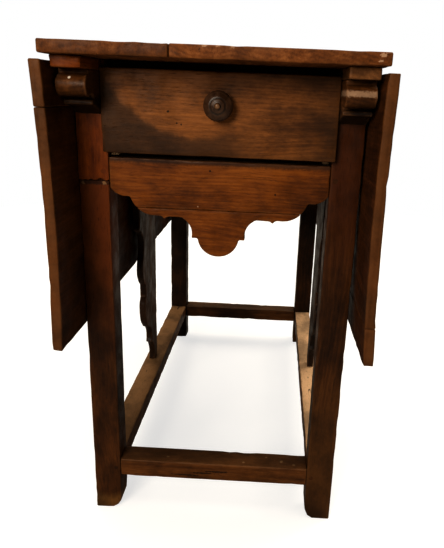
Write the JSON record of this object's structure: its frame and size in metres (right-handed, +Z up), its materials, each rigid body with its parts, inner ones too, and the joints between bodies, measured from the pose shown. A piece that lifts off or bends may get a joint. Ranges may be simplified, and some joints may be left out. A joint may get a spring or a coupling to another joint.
{
  "type": "drop leaf table",
  "caption": "Old walnut drop leaf table: narrow fixed top, hinged side leaves, scalloped swing brackets, end drawer, box stretcher.",
  "frame": {"origin": "on the floor under the middle of the table", "axes": "+Z up, -Y out of the drawer end, the leaves hang at -X and +X"},
  "size_m": [0.447, 1.012, 0.75],
  "materials": {
    "top_walnut": "old waxed walnut, satin, worn along the edges",
    "leaf_walnut": "old waxed walnut, satin, cupped boards",
    "frame_walnut": "old waxed walnut, satin, knocked and rubbed",
    "apron_walnut": "old waxed walnut, warmer and paler",
    "drawer_walnut": "figured greyish walnut, waxed",
    "red_walnut": "redder replaced wood, waxed",
    "knob_wood": "dark turned wood, polished by hands",
    "inner_wood": "bare secondary wood, dusty",
    "iron": "dark wrought iron, rust spotted"
  },
  "bodies": {
    "frame": {"back_apron": "frame_walnut", "back_left_cleat": "apron_walnut", "back_left_corbel": "frame_walnut", "back_left_leg": "frame_walnut", "back_right_cleat": "apron_walnut", "back_right_corbel": "frame_walnut", "back_right_leg": "frame_walnut", "back_stretcher": "frame_walnut", "drawer_bearer": "inner_wood", "drawer_left_kicker": "inner_wood", "drawer_left_runner": "inner_wood", "drawer_right_kicker": "inner_wood", "drawer_right_runner": "inner_wood", "drawer_stop_rail": "inner_wood", "frame_pegs": "frame_walnut", "front_apron_board": "apron_walnut", "front_apron_pendant": "apron_walnut", "front_left_cleat": "red_walnut", "front_left_corbel": "frame_walnut", "front_left_leg": "frame_walnut", "front_left_leg_patch": "red_walnut", "front_right_cleat": "apron_walnut", "front_right_corbel": "frame_walnut", "front_right_leg": "frame_walnut", "front_stretcher": "frame_walnut", "front_top_rail": "inner_wood", "left_apron": "frame_walnut", "left_hinge_pins": "iron", "left_hinge_top_plates": "iron", "left_stretcher": "frame_walnut", "right_apron": "frame_walnut", "right_hinge_pins": "iron", "right_hinge_top_plates": "iron", "right_stretcher": "frame_walnut", "top_board_narrow": "top_walnut", "top_board_wide": "top_walnut", "top_hinge_screws": "iron", "top_pegs": "frame_walnut"},
    "drawer": {"drawer_back": "inner_wood", "drawer_bottom": "inner_wood", "drawer_front": "drawer_walnut", "drawer_knob": "knob_wood", "drawer_left_side": "inner_wood", "drawer_right_side": "inner_wood"},
    "left_flag": {"left_flag": "frame_walnut", "left_flag_pins": "frame_walnut"},
    "left_leaf": {"left_hinge_leaf_plates": "iron", "left_leaf_hinge_board": "leaf_walnut", "left_leaf_main_board": "leaf_walnut", "left_leaf_screws": "iron"},
    "right_flag": {"right_flag": "frame_walnut", "right_flag_pins": "frame_walnut"},
    "right_leaf": {"right_hinge_leaf_plates": "iron", "right_leaf_edge_board": "leaf_walnut", "right_leaf_main_board": "leaf_walnut", "right_leaf_screws": "iron"}
  },
  "joints": [
    {"name": "left_leaf_hinge", "type": "hinge", "parent": "frame", "child": "left_leaf", "pos_m": [-0.2065, 0, 0.732], "axis": [0, 1, 0], "range_deg": [0, 90]},
    {"name": "right_leaf_hinge", "type": "hinge", "parent": "frame", "child": "right_leaf", "pos_m": [0.2065, 0, 0.732], "axis": [0, -1, 0], "range_deg": [0, 90]},
    {"name": "left_flag_pivot", "type": "hinge", "parent": "frame", "child": "left_flag", "pos_m": [-0.185, 0.008, 0.4], "axis": [0, 0, -1], "range_deg": [0, 2.5]},
    {"name": "right_flag_pivot", "type": "hinge", "parent": "frame", "child": "right_flag", "pos_m": [0.185, 0.008, 0.4], "axis": [0, 0, 1], "range_deg": [0, 2.5]},
    {"name": "drawer_slide", "type": "slide", "parent": "frame", "child": "drawer", "axis": [0, -1, 0], "range_m": [0, 0.3]}
  ]
}
